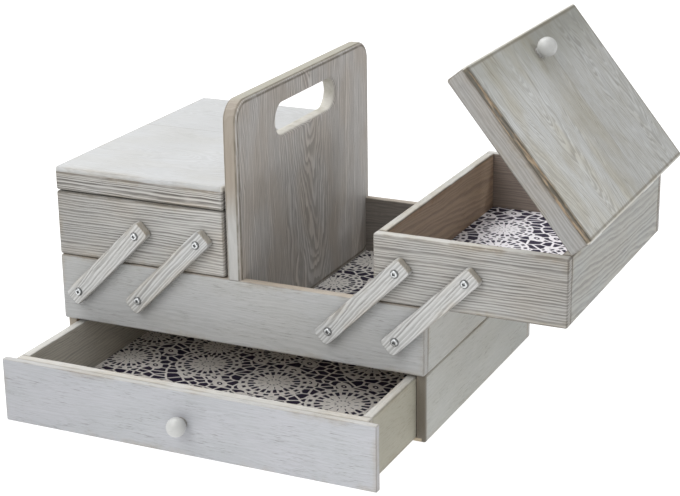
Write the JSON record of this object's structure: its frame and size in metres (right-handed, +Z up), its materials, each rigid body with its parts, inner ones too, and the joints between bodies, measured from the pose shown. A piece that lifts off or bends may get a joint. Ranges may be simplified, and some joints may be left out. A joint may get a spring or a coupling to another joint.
{
  "type": "sewing box",
  "caption": "Cantilever wooden sewing box with a drawer, a fixed middle box with an upright handle board, and lidded trays that swing out on wooden arms.",
  "frame": {"origin": "on the table, under the middle of the box's footprint", "axes": "+Z up, +X to the right across the box, the drawer pulls out towards -Y"},
  "size_m": [0.4496, 0.3568, 0.2969],
  "materials": {
    "case_wood": "pale blue-grey washed softwood, satin, edges rubbed through",
    "tray_wood": "grey-white washed softwood with strong brushed grain, satin",
    "handle_wood": "darker grey washed softwood, satin",
    "arm_wood": "grey-white washed softwood, satin",
    "knob_wood": "off-white painted turned wood, satin",
    "plywood": "thin bare plywood",
    "lining_card": "matt printed card, pale net of flowers on dark violet",
    "zinc_steel": "bright zinc plate",
    "hinge_steel": "dull plated steel"
  },
  "bodies": {
    "base": {"case_left": "case_wood", "case_right": "case_wood", "case_back": "case_wood", "case_floor": "plywood", "middle_front": "case_wood", "middle_back": "case_wood", "middle_left": "case_wood", "middle_right": "case_wood", "middle_bottom": "plywood", "middle_lining": "lining_card", "middle_pivots": "zinc_steel", "handle_board": "handle_wood", "handle_screws": "zinc_steel"},
    "drawer": {"drawer_front": "case_wood", "drawer_box_front": "case_wood", "drawer_left": "case_wood", "drawer_right": "case_wood", "drawer_back": "case_wood", "drawer_bottom": "plywood", "drawer_lining": "lining_card", "drawer_knob": "knob_wood", "drawer_knob_screw": "zinc_steel"},
    "left_tray": {"left_tray_front": "tray_wood", "left_tray_back": "tray_wood", "left_tray_outer": "tray_wood", "left_tray_inner": "tray_wood", "left_tray_bottom": "plywood", "left_tray_lining": "lining_card", "left_tray_pivots": "zinc_steel", "left_tray_hinge_leaves": "hinge_steel"},
    "left_lid": {"left_lid_top": "tray_wood", "left_lid_cross_rails": "tray_wood", "left_lid_side_rails": "tray_wood", "left_lid_knob": "knob_wood", "left_lid_knob_screw": "zinc_steel", "left_lid_hinge_leaves": "hinge_steel", "left_lid_hinge_pins": "hinge_steel"},
    "left_outer_arms": {"left_outer_arm_front": "arm_wood", "left_outer_arm_back": "arm_wood"},
    "left_inner_arms": {"left_inner_arm_front": "arm_wood", "left_inner_arm_back": "arm_wood"},
    "right_tray": {"right_tray_front": "tray_wood", "right_tray_back": "tray_wood", "right_tray_outer": "tray_wood", "right_tray_inner": "tray_wood", "right_tray_bottom": "plywood", "right_tray_lining": "lining_card", "right_tray_pivots": "zinc_steel", "right_tray_hinge_leaves": "hinge_steel"},
    "right_lid": {"right_lid_top": "tray_wood", "right_lid_cross_rails": "tray_wood", "right_lid_side_rails": "tray_wood", "right_lid_knob": "knob_wood", "right_lid_knob_screw": "zinc_steel", "right_lid_hinge_leaves": "hinge_steel", "right_lid_hinge_pins": "hinge_steel"},
    "right_outer_arms": {"right_outer_arm_front": "arm_wood", "right_outer_arm_back": "arm_wood"},
    "right_inner_arms": {"right_inner_arm_front": "arm_wood", "right_inner_arm_back": "arm_wood"}
  },
  "joints": [
    {"name": "drawer_slide", "type": "slide", "parent": "base", "child": "drawer", "axis": [0, -1, 0], "range_m": [-0.088, 0.08]},
    {"name": "left_arms_swing", "type": "hinge", "parent": "base", "child": "left_outer_arms", "pos_m": [-0.13925, 0, 0.084], "axis": [0, -1, 0], "range_deg": [0, 91.2]},
    {"name": "left_tray_level", "type": "hinge", "parent": "left_outer_arms", "child": "left_tray", "pos_m": [-0.084, 0, 0.1381], "axis": [0, -1, 0], "range_deg": [-91.2, 0]},
    {"name": "left_inner_arms_swing", "type": "hinge", "parent": "base", "child": "left_inner_arms", "pos_m": [-0.084, 0, 0.084], "axis": [0, -1, 0], "range_deg": [0, 91.2]},
    {"name": "left_lid_hinge", "type": "hinge", "parent": "left_tray", "child": "left_lid", "pos_m": [-0.162, 0, 0.16545], "axis": [0, -1, 0], "range_deg": [0, 105]},
    {"name": "right_arms_swing", "type": "hinge", "parent": "base", "child": "right_outer_arms", "pos_m": [0.13925, 0, 0.084], "axis": [0, 1, 0], "range_deg": [-91.2, 0]},
    {"name": "right_tray_level", "type": "hinge", "parent": "right_outer_arms", "child": "right_tray", "pos_m": [0.1945, 0, 0.1381], "axis": [0, 1, 0], "range_deg": [0, 91.2]},
    {"name": "right_inner_arms_swing", "type": "hinge", "parent": "base", "child": "right_inner_arms", "pos_m": [0.084, 0, 0.084], "axis": [0, 1, 0], "range_deg": [-91.2, 0]},
    {"name": "right_lid_hinge", "type": "hinge", "parent": "right_tray", "child": "right_lid", "pos_m": [0.2725, 0, 0.16545], "axis": [0, 1, 0], "range_deg": [-51, 54]}
  ],
  "couplings": [
    {"joint": "left_tray_level", "follows": "left_arms_swing", "ratio": -1},
    {"joint": "left_inner_arms_swing", "follows": "left_arms_swing", "ratio": 1},
    {"joint": "right_tray_level", "follows": "right_arms_swing", "ratio": -1},
    {"joint": "right_inner_arms_swing", "follows": "right_arms_swing", "ratio": 1}
  ]
}
